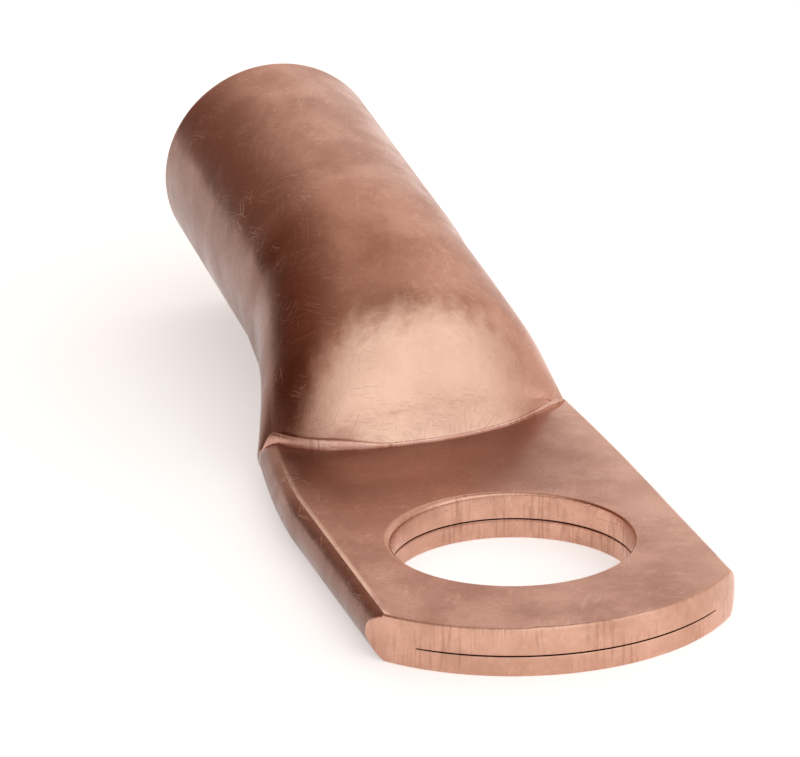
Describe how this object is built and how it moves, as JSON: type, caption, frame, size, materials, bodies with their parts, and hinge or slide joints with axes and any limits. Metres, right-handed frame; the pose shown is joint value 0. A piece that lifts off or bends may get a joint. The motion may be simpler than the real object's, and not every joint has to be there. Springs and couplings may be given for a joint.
{
  "type": "cable lug",
  "caption": "Copper tube cable lug: a round barrel takes the stripped conductor for crimping, and a flattened palm with a rounded tip and a stud hole bolts to a terminal.",
  "frame": {"origin": "centre of the stud hole on the palm's underside", "axes": "+X from the stud hole to the barrel's mouth, +Z along the stud hole from the palm's underside to its top, +Y across the palm"},
  "size_m": [0.0499, 0.0162, 0.0123],
  "materials": {
    "copper": "satin bare copper, lightly scratched and mottled"
  },
  "bodies": {
    "root": {"cable_lug": "copper"}
  },
  "joints": []
}
